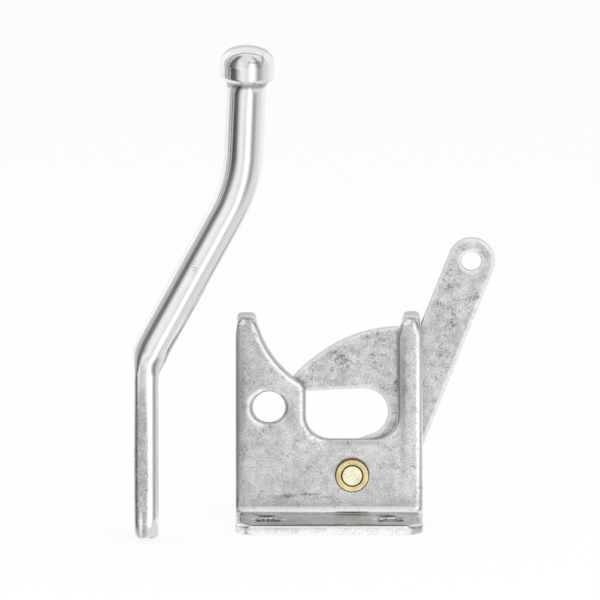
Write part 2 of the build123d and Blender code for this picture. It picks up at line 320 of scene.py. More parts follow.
# %% The places on the sheet
SHEET_PAINTED_LIGHT_AND_TONE = [
    # the left half darker, and a painted dark reflection along the left edge and the inner side of the right
    # ear
    ((-31, 10, 34), (40, 22, 60), 1.0, -0.08),
    ((-29.4, 11, 36), (5.0, 9, 60), 1.0, -0.14),
    ((-29.3, 10, 34), (2.6, 6, 90), 1.0, -0.26),
    ((24.0, 11, 46), (3.4, 6, 34), 1.0, -0.24),
    ((24.0, 10, 46), (1.8, 5, 40), 1.0, -0.3),
    # painted shade on the notch floor's roll and beside the padlock hole, and a painted highlight down the
    # right edge
    ((7.4, 9.6, 26.8), (13, 3, 1.5), 0.7, -0.1),
    ((-13.2, 10, 36.5), (3.2, 6, 7), 0.9, -0.2),
    ((30.0, 10, 36), (2.2, 6, 36), 0.8, 0.3),
    # a painted dark reflection line along the fold below the tabs, and painted highlights at the left end of
    # each tab
    ((0, 10.46, 67.87), (150, 0.36, 0.36), 0.9, -0.5),
    ((-28.9, 9.7, 67.0), (2.0, 1.8, 1.3), 0.4, 0.6),
    ((25.0, 9.7, 67.0), (2.0, 1.8, 1.3), 0.4, 0.6),
    # painted shade on the top of the foot, and painted highlights on its front, its left corner and along
    # its fold
    ((0, -2, 3.6), (42, 9, 1.4), 0.4, -0.1),
    ((0, -10.3, 1.7), (44, 1.6, 3.0), 0.3, 0.6),
    ((-29.6, -8.2, 1.6), (3.2, 3.6, 2.2), 0.5, 0.5),
    ((0, 8.5, 4.5), (150, 1.5, 1.2), 0.7, 0.38),
    # painted shade along the upper edge of the foot's front and on the far sides of the fixing holes
    ((0, -9.6, 3.35), (44, 1.1, 0.6), 0.3, -1.1),
    ((-21, 4.9, 3.3), (4.2, 1.3, 0.7), 0.5, -0.9),
    ((18.6, 4.9, 3.3), (4.2, 1.3, 0.7), 0.5, -0.9),
]
SHEET_SCUFFS = [((-15, 9, 9), (7, 3, 1.0)), ((-7, 9, 9.6), (6, 3, 0.9)), ((-1, 9, 8.6), (5, 3, 0.7))]

# %% The sheet's finish
def sheet_zinc():
    material, shader, place = open_material("plate_zinc", 0.3)
    mottle = use(MOTTLE, place, blotches=0.45, mottle=0.75, grain=1.1)
    marks = use(MARKS, place, size=650.0, cut=0.58, clusters=120.0)["Mask"]
    tab_bends = patch(place, (0, 14, 69.5), (150, 12, 5.2), 0.2)
    drawn_out = calc("MAXIMUM", tab_bends, patch(place, (0, 8.4, 4.6), (150, 1.8, 1.7), 0.4))
    edge = Number(attribute(place.id_data, "edge", "Fac"))
    # where the roll is worn, and where its highlight is painted
    rubbed_and_highlight = calc("MINIMUM", calc("MAXIMUM", edge, 0.0) * 1.6, 1.0)

    calm = (1.0 - drawn_out * 0.75) * (1.0 - rubbed_and_highlight * 0.85)
    tone = (mottle["Tone"] - 0.5) * calm + 0.63 - marks * 0.3
    # painted shade and painted highlights from the table above, and the left side darker
    tone = with_patches(tone, place, SHEET_PAINTED_LIGHT_AND_TONE)
    streaks = fade(noise(vector_calc("MULTIPLY", place, (260.0, 1.0, 1500.0)), 1.0, 2.0), 0.42, 0.56)
    for centre, half in SHEET_SCUFFS:
        tone = tone - patch(place, centre, half, 0.9) * streaks * 0.42
    # the worn edges lighter, partly a painted highlight; the painted dark line where the roll meets the cut
    # face, and the cut face darker
    tone = tone + rubbed_and_highlight * 0.1 + calc("MINIMUM", edge, 0.0) * 0.5

    rough = calc("MAXIMUM", 0.3 - abs(edge) * 0.3 - drawn_out * 0.17, 0.12)
    still = (1.0 - calc("MINIMUM", rubbed_and_highlight * 3.0, 0.96)) * (1.0 - drawn_out * 0.85)
    fill(shader, {
        "Base Color": between(tone, (0.18, 0.18, 0.185), (0.95, 0.95, 0.95)),
        "Roughness": rough,
        "Normal": bump(mottle["Height"] * still, 0.35, 0.0001),
    })
    return material


SHEET_ZINC = sheet_zinc()

# %% [markdown]
# ### The lever
# The lever is flatter and paler than the sheet, with more of the small dark marks. Its edges are
# lighter, worn and with a painted highlight.

# %% The lever's finish
def lever_zinc():
    material, shader, place = open_material("lever_zinc", 0.4)
    mottle = use(MOTTLE, place, blotches=0.25, mottle=0.85, grain=1.2)
    marks = use(MARKS, place, size=620.0, cut=0.55, clusters=170.0)["Mask"]
    rubbed_and_highlight = calc("MINIMUM", abs(Number(attribute(place.id_data, "edge", "Fac"))), 1.0)
    tone = mottle["Tone"] - marks * 0.34
    # the edges lighter: worn, and a painted highlight
    tone = 0.5 + (tone - 0.5) * (1.0 - rubbed_and_highlight * 0.85) + rubbed_and_highlight * 0.45
    fill(shader, {
        "Base Color": between(tone, (0.22, 0.22, 0.225), (0.98, 0.98, 0.98)),
        "Normal": bump(mottle["Height"], 0.3, 0.0001),
    })
    return material


LEVER_ZINC = lever_zinc()

# %% [markdown]
# ### The forged bar
# The bar is bright zinc over drawn and forged steel. Fine lines run along it, so its pattern follows
# the attribute "unbent", which says where each point was before the bar was bent. The edge of the
# flat leg was upset in the press and is more granular than the rest, and a painted dark reflection
# runs down it. Painted dark reflections lie on the head, painted shade under it, and a painted highlight
# and a painted shade spot at the foot of the leg. The slope has a nick.

# %% The places on the bar
BAR_PAINTED_LIGHT = [
    # painted shade under the head, and painted dark reflections on the head's front
    ((-27.2, -14.9, 151.4), (12, 12, 1.9), 0.5, -0.85),
    ((-24.6, -22, 159.4), (2.4, 4, 0.22), 0.4, -0.9),
    ((-26.1, -22, 159.4), (0.3, 4, 0.9), 0.5, -0.7),
    ((-21.8, -20, 159.6), (0.8, 4, 2.8), 0.9, -0.8),
    # a painted highlight and a painted shade spot at the foot of the leg
    ((-61.4, -21, 6.6), (0.8, 8, 8), 0.7, 0.9),
    ((-58.0, -21, 0.9), (1.3, 9, 0.55), 0.5, -1.0),
]
BAR_NICK_AND_DARK_REFLECTIONS = [
    # a nick on the slope
    ((-43.9, -21.5, 91.7), (1.1, 3, 2.7)),
    # painted dark reflections on the head's two sides
    ((-22.4, -20.5, 158.6), (1.7, 4, 3.6)),
    ((-31.9, -21, 157.5), (1.6, 4, 3.4)),
]

# %% The bar's finish
def bar_zinc():
    material, shader, place = open_material("bar_zinc", 0.2)
    mottle = use(MOTTLE, place, blotches=0.08, mottle=0.16, grain=0.3)
    unbent = attribute(place.id_data, "unbent", "Vector")
    lines = noise(vector_calc("MULTIPLY", unbent, (2100.0, 2100.0, 90.0)), 1.0, 3.0) - 0.5
    # the leg's edge: grainier and rougher, and painted darker as a dark reflection
    grain_and_shade_edge = patch(place, (-61.2, -21, 26), (2.9, 8, 38), 0.35)
    coarse = use(MOTTLE, place, blotches=0.2, mottle=0.9, grain=2.2)["Tone"] - 0.5

    tone = mottle["Tone"] + lines * 0.35 + 0.27 + (coarse * 0.9 - 0.66) * grain_and_shade_edge
    # painted shade and painted highlights from the table above
    tone = with_patches(tone, place, BAR_PAINTED_LIGHT)
    specks = use(MARKS, place, size=1300.0, cut=0.5, clusters=20.0)["Mask"]
    # the nick on the slope, and painted dark reflections on the head, broken into specks
    for centre, half in BAR_NICK_AND_DARK_REFLECTIONS:
        tone = tone - patch(place, centre, half, 0.7) * specks * 0.9

    fill(shader, {
        "Base Color": between(tone, (0.42, 0.42, 0.425), (1.0, 1.0, 1.0)),
        "Roughness": 0.12 + grain_and_shade_edge * 0.26,
        "Normal": bump(lines + mottle["Height"] + coarse * grain_and_shade_edge, 0.2, 0.00005),
    })
    return material


BAR_ZINC = bar_zinc()

# %% [markdown]
# ### The rivet and its collar
# Both are yellow plated. The collar is a clear pale gold, and the rivet's tail is worn almost white
# where the riveting tool pressed it. Dark rings of painted shade follow the edges of both.

# %% The yellow finishes
PIVOT = (7.5, 16.1)


def yellow_plate(name, dark, light, roughness, brightness, rings):
    """Yellow plate with dark rings of painted shade, each given by its radius round the rivet, its half
    width and depth.
    """
    material, shader, place = open_material(name, roughness)
    mottle = use(MOTTLE, place, blotches=0.3, mottle=0.9, grain=0.9)
    across = vector_calc("SUBTRACT", place, (PIVOT[0] * MM, 0.0, PIVOT[1] * MM))
    reach = vector_calc("LENGTH", vector_calc("MULTIPLY", across, (1 / MM, 0.0, 1 / MM)))
    tone = mottle["Tone"] + brightness
    # each ring is painted shade, round the collar's outer edge and in the groove round the rivet's tail
    for radius, half, depth in rings:
        tone = tone - fade(abs(reach - radius), half, half * 0.4) * depth
    fill(shader, {"Base Color": between(tone, dark, light), "Normal": bump(mottle["Height"], 0.3, 0.0001)})
    return material


COLLAR_SHADE_RINGS = [(5.6, 0.5, 1.0), (3.5, 0.3, 0.7)]
COLLAR_YELLOW = yellow_plate("collar_yellow", (0.14, 0.1, 0.03), (1.0, 0.84, 0.45), 0.22, 0.3, COLLAR_SHADE_RINGS)
RIVET_SHADE_RINGS = [(3.45, 0.42, 1.25)]
RIVET_YELLOW = yellow_plate("rivet_yellow", (0.32, 0.24, 0.08), (1.0, 0.98, 0.71), 0.25, 0.44, RIVET_SHADE_RINGS)
print("materials", [m.name for m in (SHEET_ZINC, LEVER_ZINC, BAR_ZINC, COLLAR_YELLOW, RIVET_YELLOW)])

# %% [markdown]
# ## Outlines
# The sheet and the lever are both punched from flat metal, so each starts as an outline in
# millimetres. An outline runs counter-clockwise round the metal and a hole runs clockwise, so that
# the metal is always on the left. One helper rounds the corners that have a radius.

# %% Outline helpers
def on_circle(centre, radius, angle):
    """Point of a circle at an angle in degrees."""
    return (centre[0] + radius * cos(radians(angle)), centre[1] + radius * sin(radians(angle)))


def arc_points(centre, radius, start, sweep, spacing=4.0):
    """Points along an arc, both ends included, one every few degrees."""
    count = max(2, ceil(abs(sweep) / spacing))
    return [on_circle(centre, radius, start + sweep * i / count) for i in range(count + 1)]


def rounded(corners):
    """Outline from corners that are x, y and radius. Points nearer than the rounding needs give way."""
    corners = [tuple(c) if len(c) == 3 else (*c, 0.0) for c in corners]
    outline = []
    count = len(corners)
    for number, (x, y, radius) in enumerate(corners):
        corner = Vector((x, y))
        if radius == 0.0:
            outline.append((x, y, number))
            continue
        steps = [1, 1]
        for _ in range(3):  # the rounding grows when a neighbour gives way, so it is worked out again
            before, after = (Vector(corners[(number + step) % count][:2]) for step in (-steps[0], steps[1]))
            arrive = (corner - before).normalized()
            leave = (after - corner).normalized()
            turn = atan2(arrive.cross(leave), arrive.dot(leave))
            reach = abs(radius * tan(turn / 2))
            for side, sign in enumerate((-1, 1)):
                while (Vector(corners[(number + sign * steps[side]) % count][:2]) - corner).length < reach:
                    steps[side] += 1
        outline = [p for p in outline if not any((number - k) % count == p[2] for k in range(1, steps[0]))]
        skipped = [(number + k) % count for k in range(1, steps[1])]
        corners = [(*c[:2], -1.0) if i in skipped else c for i, c in enumerate(corners)]
        start = corner - arrive * reach
        centre = start + Vector((-arrive.y, arrive.x)) * copysign(1, turn) * radius
        first = degrees(atan2(start.y - centre.y, start.x - centre.x))
        outline += [(*point, number) for point in arc_points(centre, radius, first, degrees(turn), 7.0)]
    return [p[:2] for p in outline if corners[p[2]][2] >= 0]


def round_hole(centre, radius):
    """Clockwise circle of 72 points."""
    return [on_circle(centre, radius, -5 * i) for i in range(72)]


# %% [markdown]
# ## Punching a blank
# A punch drags the front edge of the metal down into a soft roll and leaves the back edge crisp. The
# blank is made that way: each outline is swept through a profile that starts on the front face, rolls
# over, runs through the thickness and ends on the back. The two faces are then filled. The normals
# are known exactly from the profile, so the flats stay flat and the rolls stay smooth.

# %% The profile of a punched edge
def punch_profile(thickness, roll_width, tilt, edge_radius, back_radius):
    """Rows of inset, depth, and the normal's share inwards and along the depth, and the edge's tone."""
    shoulder = edge_radius * (1 - sin(radians(tilt)))
    fall = tan(radians(tilt)) / (2 * (roll_width - shoulder))
    rows = []
    # on the roll the edge's tone rises to 0.75: worn lighter, partly a painted highlight
    for number in range(7):
        inset = roll_width + (shoulder - roll_width) * number / 6
        lean = atan(2 * fall * (roll_width - inset))
        rows.append((inset, fall * (roll_width - inset) ** 2, -sin(lean), -cos(lean), 0.75 * number / 6))
    centre = rows[-1][1] + edge_radius * cos(radians(tilt))
    # the first rows of the round are lighter the same way, the last two a painted dark line where the round
    # meets the cut face
    for number in range(1, 6):
        angle = radians(tilt + (90 - tilt) * number / 5)
        inset = edge_radius * (1 - sin(angle))
        wear_and_painted_light = 1.0 if number < 4 else -0.9
        rows.append((inset, centre - edge_radius * cos(angle), -sin(angle), -cos(angle), wear_and_painted_light))
    # the cut face is a little darker
    for number in range(4):
        angle = radians(90 * number / 3)
        inset = back_radius * (1 - cos(angle))
        depth = thickness - back_radius * (1 - sin(angle))
        rows.append((inset, depth, -cos(angle), sin(angle), -0.3))
    return rows


# %% Offsets of an outline
SHORT_STEP = 0.5


def left_normals(loop):
    """Direction to the left of an outline at each point, lengthened at corners to keep an offset even."""
    normals = []
    for number, point in enumerate(loop):
        here = Vector(point)
        before = (here - Vector(loop[number - 1])).normalized()
        after = (Vector(loop[(number + 1) % len(loop)]) - here).normalized()
        middle = (before + after).normalized()
        normal = Vector((-middle.y, middle.x))
        normals.append(normal / max(normal.dot(Vector((-after.y, after.x))), 0.4))
    return normals


def inset_ring(loop, normals, inset):
    """Outline moved inwards. The points of a corner tighter than the inset come together."""
    moved = [Vector(point) + normal * inset for point, normal in zip(loop, normals)]
    count = len(loop)
    steps = [Vector(loop[(i + 1) % count]) - Vector(loop[i]) for i in range(count)]
    turned = [(moved[(i + 1) % count] - moved[i]).dot(steps[i]) < 0 for i in range(count)]
    for first in range(count):
        if turned[first] and not turned[first - 1]:
            last = first
            while turned[last % count]:
                last += 1
            start = first - 1 if steps[first - 1].length < SHORT_STEP else first
            last = last + 1 if steps[last % count].length < SHORT_STEP else last
            arrive, leave = steps[start - 1], steps[last % count]
            gap = moved[last % count] - moved[start]
            meet = moved[start] + arrive * (gap.cross(leave) / arrive.cross(leave))
            for number in range(start, last + 1):
                moved[number % count] = meet
    return moved


# %% The punched blank
def swept_edge(work, loop, profile):
    """The edge of the metal along one outline, with its first and last ring of points."""
    normal_layer = work.verts.layers.float_vector["blank_normal"]
    edge_layer = work.verts.layers.float["edge"]
    normals = left_normals(loop)
    rings = []
    for inset, depth, inwards, deeper, wear_and_painted_light in profile:
        ring = []
        points = inset_ring(loop, normals, inset)
        for point, normal in zip(points, normals):
            if ring and point == points[len(ring) - 1]:
                ring.append(ring[-1])
                continue
            vert = work.verts.new((*point, depth))
            across = normal.normalized()
            vert[normal_layer] = (across.x * inwards, across.y * inwards, deeper)
            vert[edge_layer] = wear_and_painted_light
            ring.append(vert)
        rings.append(ring)
    for near, far in zip(rings, rings[1:]):
        for corners in zip(near, near[1:] + near[:1], far[1:] + far[:1], far):
            if len(set(corners)) > 2:
                work.faces.new(list(dict.fromkeys(corners)))
    return rings[0], rings[-1]


def punched(name, loops, profiles, cuts, place):
    """Blank from outlines and their profiles, cut where it bends, with every point put in its place."""
    work = bmesh.new()
    work.verts.layers.float_vector.new("blank_normal")
    work.verts.layers.float.new("edge")
    caps = ([], [])
    for loop, profile in zip(loops, profiles):
        for edges, ring in zip(caps, swept_edge(work, loop, profile)):
            sides = zip(ring, ring[1:] + ring[:1])
            edges += [work.edges.get(side) for side in sides if side[0] is not side[1]]
    for edges in caps:
        bmesh.ops.triangle_fill(work, use_beauty=True, use_dissolve=False, edges=edges, normal=(0, 0, 1))
    for cut in cuts:
        everything = work.verts[:] + work.edges[:] + work.faces[:]
        bmesh.ops.bisect_plane(work, geom=everything, dist=0.0001, plane_co=(0, cut, 0), plane_no=(0, 1, 0))
    bmesh.ops.recalc_face_normals(work, faces=work.faces)
    normals = []
    normal_layer = work.verts.layers.float_vector["blank_normal"]
    for vert in work.verts:
        position, normal = place(vert.co, vert[normal_layer].normalized())
        vert.co = Vector(position) * MM
        normals.append(Vector(normal).normalized())
    work.normal_update()
    bmesh.ops.recalc_face_normals(work, faces=work.faces)
    mesh = mesh_from(work, name)
    mesh.attributes.remove(mesh.attributes["blank_normal"])
    mesh.shade_smooth()
    mesh.normals_split_custom_set_from_vertices(normals)
    return mesh


# %% Showing a piece
def show(name, mesh, material, body):
    """Object for a finished mesh, standing for the CAD node of the same name."""
    mesh.materials.clear()
    mesh.materials.append(material)
    piece = new_object(name + "_piece", mesh)
    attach(piece, body)
    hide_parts(name)
    print(name, "faces", len(mesh.polygons))


# %% [markdown]
# ## The folded sheet
# The bracket is first a flat blank, with the foot below and the two tabs above. The blank's height
# is measured along the middle of the metal, because that line keeps its length in a bend. The foot
# then folds forward and the tabs fold back.

# %% Sizes of the sheet
SHEET = 3.4
HALF_WIDTH = 30.6
HEIGHT = 69.0
FOOT_FRONT = -10.0
FOOT_CORNER = 6.5
FOOT_FOLD = 2.4
TAB_FOLD = 1.0
LEFT_TAB = (-30.2, -23.9, 18.1)
RIGHT_TAB = (24.1, 29.65, 19.8)
TAB_CORNERS = (1.9, 2.0)
TAB_START, SHOULDER, SHOULDER_ROUND = 65.6, 62.6, 6
RIGHT_SHOULDER, RIGHT_ROUND = 61.8, 4
NOTCH_LEFT, NOTCH_RIGHT, NOTCH_FLOOR = -7.6, 22.3, 27.65
NOTCH_LIP, NOTCH_ROUND = 45.6, 8.0
EAR_CURVE = 33.0
PADLOCK_HOLE, PADLOCK_RADIUS = (-19.7, 38.4), 5.3
RIVET_HOLE = 3.47
FIXING_SIDE, FIXING_RADIUS = 20.0, 4.1

wall_foot = FOOT_FOLD + SHEET
wall_top = HEIGHT - TAB_FOLD - SHEET
wall = wall_top - wall_foot
foot_bend = radians(90) * (FOOT_FOLD + SHEET / 2)
tab_bend = radians(90) * (TAB_FOLD + SHEET / 2)
tab_fold_centre = SHEET_FRONT + SHEET + TAB_FOLD
foot_fold_centre = SHEET_FRONT - FOOT_FOLD
foot_edge = -foot_bend - (foot_fold_centre - FOOT_FRONT)
print("flat blank is", round(wall + tab_bend + RIGHT_TAB[2] - tab_fold_centre - foot_edge, 1), "mm tall")

# %% Folding the blank
def blank_height(height):
    """Place on the flat blank of a height on the finished front face."""
    if height <= wall_top:
        return height - wall_foot
    return wall + asin(min(1, (height - wall_top) / (TAB_FOLD + SHEET))) * (TAB_FOLD + SHEET / 2)


def blank_tab(back):
    """Place on the flat blank of a depth on a tab."""
    return wall + tab_bend + back - tab_fold_centre


def fold_sheet(point, normal):
    """Where a point of the flat blank and its normal go when the sheet is folded."""
    across, along, depth = point
    if along < 0:
        turn = min(-along / (FOOT_FOLD + SHEET / 2), radians(90))
        beyond = min(along + foot_bend, 0)
        centre, reach = (foot_fold_centre, wall_foot), FOOT_FOLD + depth
    elif along > wall:
        turn = min((along - wall) / (TAB_FOLD + SHEET / 2), radians(90))
        beyond = max(along - wall - tab_bend, 0)
        centre, reach = (tab_fold_centre, wall_top), depth - TAB_FOLD - SHEET
    else:
        return (across, SHEET_FRONT + depth, wall_foot + along), (normal[0], normal[2], normal[1])
    up = (sin(turn), cos(turn))
    deeper = (cos(turn), -sin(turn))
    moved = [centre[i] + deeper[i] * reach + up[i] * beyond for i in (0, 1)]
    turned = [normal[1] * up[i] + normal[2] * deeper[i] for i in (0, 1)]
    return (across, *moved), (normal[0], *turned)


# %% [markdown]
# The left ear's edge is one arc from the notch up to the tab. Its centre lies in the mouth, so the
# mouth is hollow on that side and the bar slides down it into the notch.

# %% The sheet's outline
def ear_curve(foot, top, radius):
    """Arc from foot to top that bows away from the mouth."""
    chord = Vector(top) - Vector(foot)
    half = asin(chord.length / 2 / radius)
    rise = atan2(chord.y, chord.x)
    start = rise + half - radians(270)
    centre = Vector(foot) - Vector((cos(start), sin(start))) * radius
    return arc_points(centre, radius, degrees(start), -degrees(2 * half), 3.0)


def sheet_outline():
    curve = ear_curve((NOTCH_LEFT, NOTCH_LIP), (LEFT_TAB[1], HEIGHT), EAR_CURVE)
    left_end, right_end = blank_tab(LEFT_TAB[2]), blank_tab(RIGHT_TAB[2])
    return rounded([
        (-HALF_WIDTH, foot_edge, FOOT_CORNER),
        (HALF_WIDTH, foot_edge, FOOT_CORNER),
        (HALF_WIDTH, blank_height(SHOULDER), SHOULDER_ROUND),
        (RIGHT_TAB[1], blank_height(TAB_START)),
        (RIGHT_TAB[1], right_end, TAB_CORNERS[1]),
        (RIGHT_TAB[0], right_end, TAB_CORNERS[1]),
        (RIGHT_TAB[0], blank_height(HEIGHT), RIGHT_ROUND),
        (NOTCH_RIGHT, blank_height(RIGHT_SHOULDER), RIGHT_ROUND),
        (NOTCH_RIGHT, blank_height(NOTCH_FLOOR), NOTCH_ROUND),
        (NOTCH_LEFT, blank_height(NOTCH_FLOOR), NOTCH_ROUND),
        (NOTCH_LEFT, blank_height(NOTCH_LIP), NOTCH_ROUND / 2),
        *[(x, blank_height(z)) for x, z in curve[1:]],
        (LEFT_TAB[1], left_end, TAB_CORNERS[0]),
        (LEFT_TAB[0], left_end, TAB_CORNERS[0]),
        (LEFT_TAB[0], blank_height(TAB_START)),
        (-HALF_WIDTH, blank_height(SHOULDER), SHOULDER_ROUND),
    ])


# %% The sheet, punched and folded
fixing_height = -foot_bend - foot_fold_centre
sheet_loops = [
    sheet_outline(),
    round_hole((PADLOCK_HOLE[0], blank_height(PADLOCK_HOLE[1])), PADLOCK_RADIUS),
    round_hole((PIVOT[0], blank_height(PIVOT[1])), RIVET_HOLE),
    round_hole((-FIXING_SIDE, fixing_height), FIXING_RADIUS),
    round_hole((FIXING_SIDE, fixing_height), FIXING_RADIUS),
]
bend_steps = 8
foot_cuts = [-foot_bend * i / bend_steps for i in range(bend_steps + 1)]
tab_cuts = [wall + tab_bend * i / bend_steps for i in range(bend_steps + 1)]
rolled = punch_profile(SHEET, roll_width=2.6, tilt=21, edge_radius=1.0, back_radius=0.15)
under_collar = punch_profile(SHEET, roll_width=0.6, tilt=21, edge_radius=0.3, back_radius=0.15)
sheet_profiles = [rolled, rolled, under_collar, rolled, rolled]
print("points of the sheet's outline and holes", [len(loop) for loop in sheet_loops])
sheet_mesh = punched("latch_plate", sheet_loops, sheet_profiles, foot_cuts + tab_cuts, fold_sheet)
show("latch_plate", sheet_mesh, SHEET_ZINC, "latch")

# %% [markdown]
# ## The lever
# The lever is punched from thinner metal and stays flat. Its outline runs round the hub, along the
# heel and the arm, back under the tab, down the horn and round the hook that holds the bar.

# %% The lever's outline
LEVER = 2.7
LEVER_FRONT = 12.7
LEVER_BORE = 3.51
HUB = 9.75
ARM_WIDTH = 15.4
ARM_LEAN = 21.4
STOP_GAP = 0.25
PULL_HEIGHT, PULL_HOLE = 86.5, 3.2
HEEL_HEIGHT, HEEL_ROUND = 15.0, 8.0
HOOK, HOOK_RADIUS = (11.2, 36.2), 8.0
HORN_GAP, HORN_FLAT = 1.05, 5.8
HORN_BACK, HORN_SWEEP, HORN_NOSE = 45.0, 32, 60.0
HORN_UNDER = 2.7
ROOT_ROUND, TIP_ROUND = 1.0, 3.0
TAB_UNDERSIDE = HEIGHT - SHEET


def bearing(start, end):
    """Direction in degrees from one point to another."""
    return degrees(atan2(end[1] - start[1], end[0] - start[0]))


def line_meets_circle(start, angle, centre, radius):
    """Far point where a ray from start crosses a circle."""
    gap = (start[0] - centre[0], start[1] - centre[1])
    along = gap[0] * cos(radians(angle)) + gap[1] * sin(radians(angle))
    inside = radius**2 - gap[0] ** 2 - gap[1] ** 2
    return on_circle(start, -along + sqrt(along**2 + inside), angle)


def lever_outline():
    """The lever's outline and the centre of its pull hole."""
    up_arm, across_arm = 90 - ARM_LEAN, -ARM_LEAN
    rise = sin(radians(up_arm))
    stop = (RIGHT_TAB[1] + STOP_GAP / cos(radians(ARM_LEAN)), TAB_UNDERSIDE)
    start = on_circle(stop, ARM_WIDTH / 2, across_arm)
    pull = on_circle(start, (PULL_HEIGHT - start[1]) / rise, up_arm)
    right = on_circle(stop, ARM_WIDTH, across_arm)
    heel = on_circle(right, -(right[1] - HEEL_HEIGHT) / rise, up_arm)
    root = on_circle(stop, -HORN_GAP / rise, up_arm)

    back_centre = (root[0] - HORN_FLAT, TAB_UNDERSIDE - HORN_GAP - HORN_BACK)
    back_end = 90 + HORN_SWEEP
    nose_centre = on_circle(on_circle(back_centre, HORN_BACK, back_end), -HORN_NOSE, back_end)
    under = 90 + HORN_UNDER
    tip = line_meets_circle(on_circle(HOOK, HOOK_RADIUS, under), under + 90, nose_centre, HORN_NOSE)

    lip = bearing(PIVOT, HOOK) - degrees(asin((HOOK_RADIUS + HUB) / dist(HOOK, PIVOT)))
    hub_end = 360 + bearing(PIVOT, heel) - degrees(acos(HUB / dist(heel, PIVOT)))
    corners = arc_points(PIVOT, HUB, lip + 90, hub_end - lip - 90)
    corners += [(*heel, HEEL_ROUND)]
    corners += arc_points(pull, ARM_WIDTH / 2, across_arm, 180)
    corners += [(*root, ROOT_ROUND)]
    corners += arc_points(back_centre, HORN_BACK, 90, HORN_SWEEP, 2.0)
    corners += arc_points(nose_centre, HORN_NOSE, back_end, bearing(nose_centre, tip) - back_end, 2.0)[1:-1]
    corners += [(*tip, TIP_ROUND)]
    corners += arc_points(HOOK, HOOK_RADIUS, under, lip - under - 90)
    return rounded(corners), pull


def stand_lever(point, normal):
    """The flat blank stands up behind the sheet."""
    return (point[0], LEVER_FRONT + point[2], point[1]), (normal[0], normal[2], normal[1])


# %% The lever, punched
lever_edge, pull_hole = lever_outline()
lever_loops = [lever_edge, round_hole(pull_hole, PULL_HOLE), round_hole(PIVOT, LEVER_BORE)]
rolled = punch_profile(LEVER, roll_width=1.5, tilt=12, edge_radius=0.35, back_radius=0.3)
lever_mesh = punched("latch_lever", lever_loops, [rolled] * len(lever_loops), [], stand_lever)
show("latch_lever", lever_mesh, LEVER_ZINC, "lever")
print("pull hole at", [round(c, 3) for c in pull_hole])

# %% [markdown]
# ## The rivet and its collar
# Both are turned about the rivet's axis, which runs from front to back. A profile of radius and depth
# is spun in small steps. Its corners are rounded with the same helper as the outlines.

# %% Turned pieces
def clean(work, near, thin):
    """Join the points nearer than near, drop edges and faces under thin, and turn the faces outward."""
    bmesh.ops.remove_doubles(work, verts=work.verts, dist=near)
    bmesh.ops.dissolve_degenerate(work, edges=work.edges, dist=thin)
    bmesh.ops.delete(work, geom=[edge for edge in work.edges if not edge.link_faces], context="EDGES")
    bmesh.ops.recalc_face_normals(work, faces=work.faces)


def turned_mesh(name, profile, centre, axis, steps=96):
    """Mesh spun from a profile of radius and place along the axis."""
    work = bmesh.new()
    rings = []
    for radius, along in profile:
        points = [on_circle((0, 0), radius, 360 * step / steps) for step in range(steps)]
        spots = [{"X": (along, a, b), "Y": (a, along, b)}[axis] for a, b in points]
        rings.append([work.verts.new((Vector(spot) + Vector(centre)) * MM) for spot in spots])
    for near, far in zip(rings, rings[1:] + rings[:1]):
        for i in range(steps):
            work.faces.new((near[i], near[(i + 1) % steps], far[(i + 1) % steps], far[i]))
    clean(work, 1e-7, 1e-8)
    mesh = mesh_from(work, name)
    mesh.shade_smooth()
    return mesh


def plain_copy(source, name):
    """Plain mesh from an object with its modifiers worked in. The object is then gone."""
    bpy.context.view_layer.update()
    graph = bpy.context.evaluated_depsgraph_get()
    mesh = bpy.data.meshes.new_from_object(source.evaluated_get(graph), depsgraph=graph)
    mesh.name = name
    bpy.data.objects.remove(source)
    return mesh


def steady_normals(mesh, name):
    """Normals weighted by area, so that large flats stay flat beside small roundings."""
    holder = new_object(name, mesh)
    weighted = holder.modifiers.new("weighted", "WEIGHTED_NORMAL")
    weighted.keep_sharp = True
    weighted.weight = 90
    return plain_copy(holder, name)


# %% The rivet and the collar
COLLAR, COLLAR_THICK = 5.6, 1.6
SHANK, TAIL_STAND = 3.45, 0.15
HEAD_RADIUS, HEAD_THICK, HEAD_GAP = 6.2, 2.2, 0.15

axis_place = (PIVOT[0], 0, PIVOT[1])
collar_front = SHEET_FRONT - COLLAR_THICK
collar_corners = [
    (RIVET_HOLE, collar_front + 0.12, 0),
    (RIVET_HOLE + 0.25, collar_front, 0.1),
    (COLLAR, collar_front, 0.5),
    (COLLAR, SHEET_FRONT, 0),
    (RIVET_HOLE, SHEET_FRONT, 0),
]
collar_mesh = turned_mesh("rivet_collar", rounded(collar_corners), axis_place, "Y")
show("rivet_collar", steady_normals(collar_mesh, "rivet_collar"), COLLAR_YELLOW, "latch")

tail_end = collar_front - TAIL_STAND
head_front = LEVER_FRONT + LEVER + HEAD_GAP
rivet_corners = [
    (0.0, tail_end - 0.02, 0),
    (2.2, tail_end, 0),
    (SHANK, tail_end, 0.35),
    (SHANK, head_front, 0),
    (HEAD_RADIUS, head_front, 0.1),
    (HEAD_RADIUS, head_front + HEAD_THICK, 0.9),
    (0.0, head_front + HEAD_THICK, 0),
]
rivet_mesh = turned_mesh("pivot_rivet", rounded(rivet_corners), axis_place, "Y")
show("pivot_rivet", steady_normals(rivet_mesh, "pivot_rivet"), RIVET_YELLOW, "latch")

# %% [markdown]
# ## The forged bar
# The bar keeps one rule from end to end: its section is a rectangle with round corners, square to the
# path. On the leg the rectangle is wide and flat, on the slope it is an oval, and on the neck and the
# head it is a circle. So Geometry Nodes sweep it. A row of stations says how far along the path each
# section is and how thick, wide and round it is. The path's two bends are rounded in the tree.

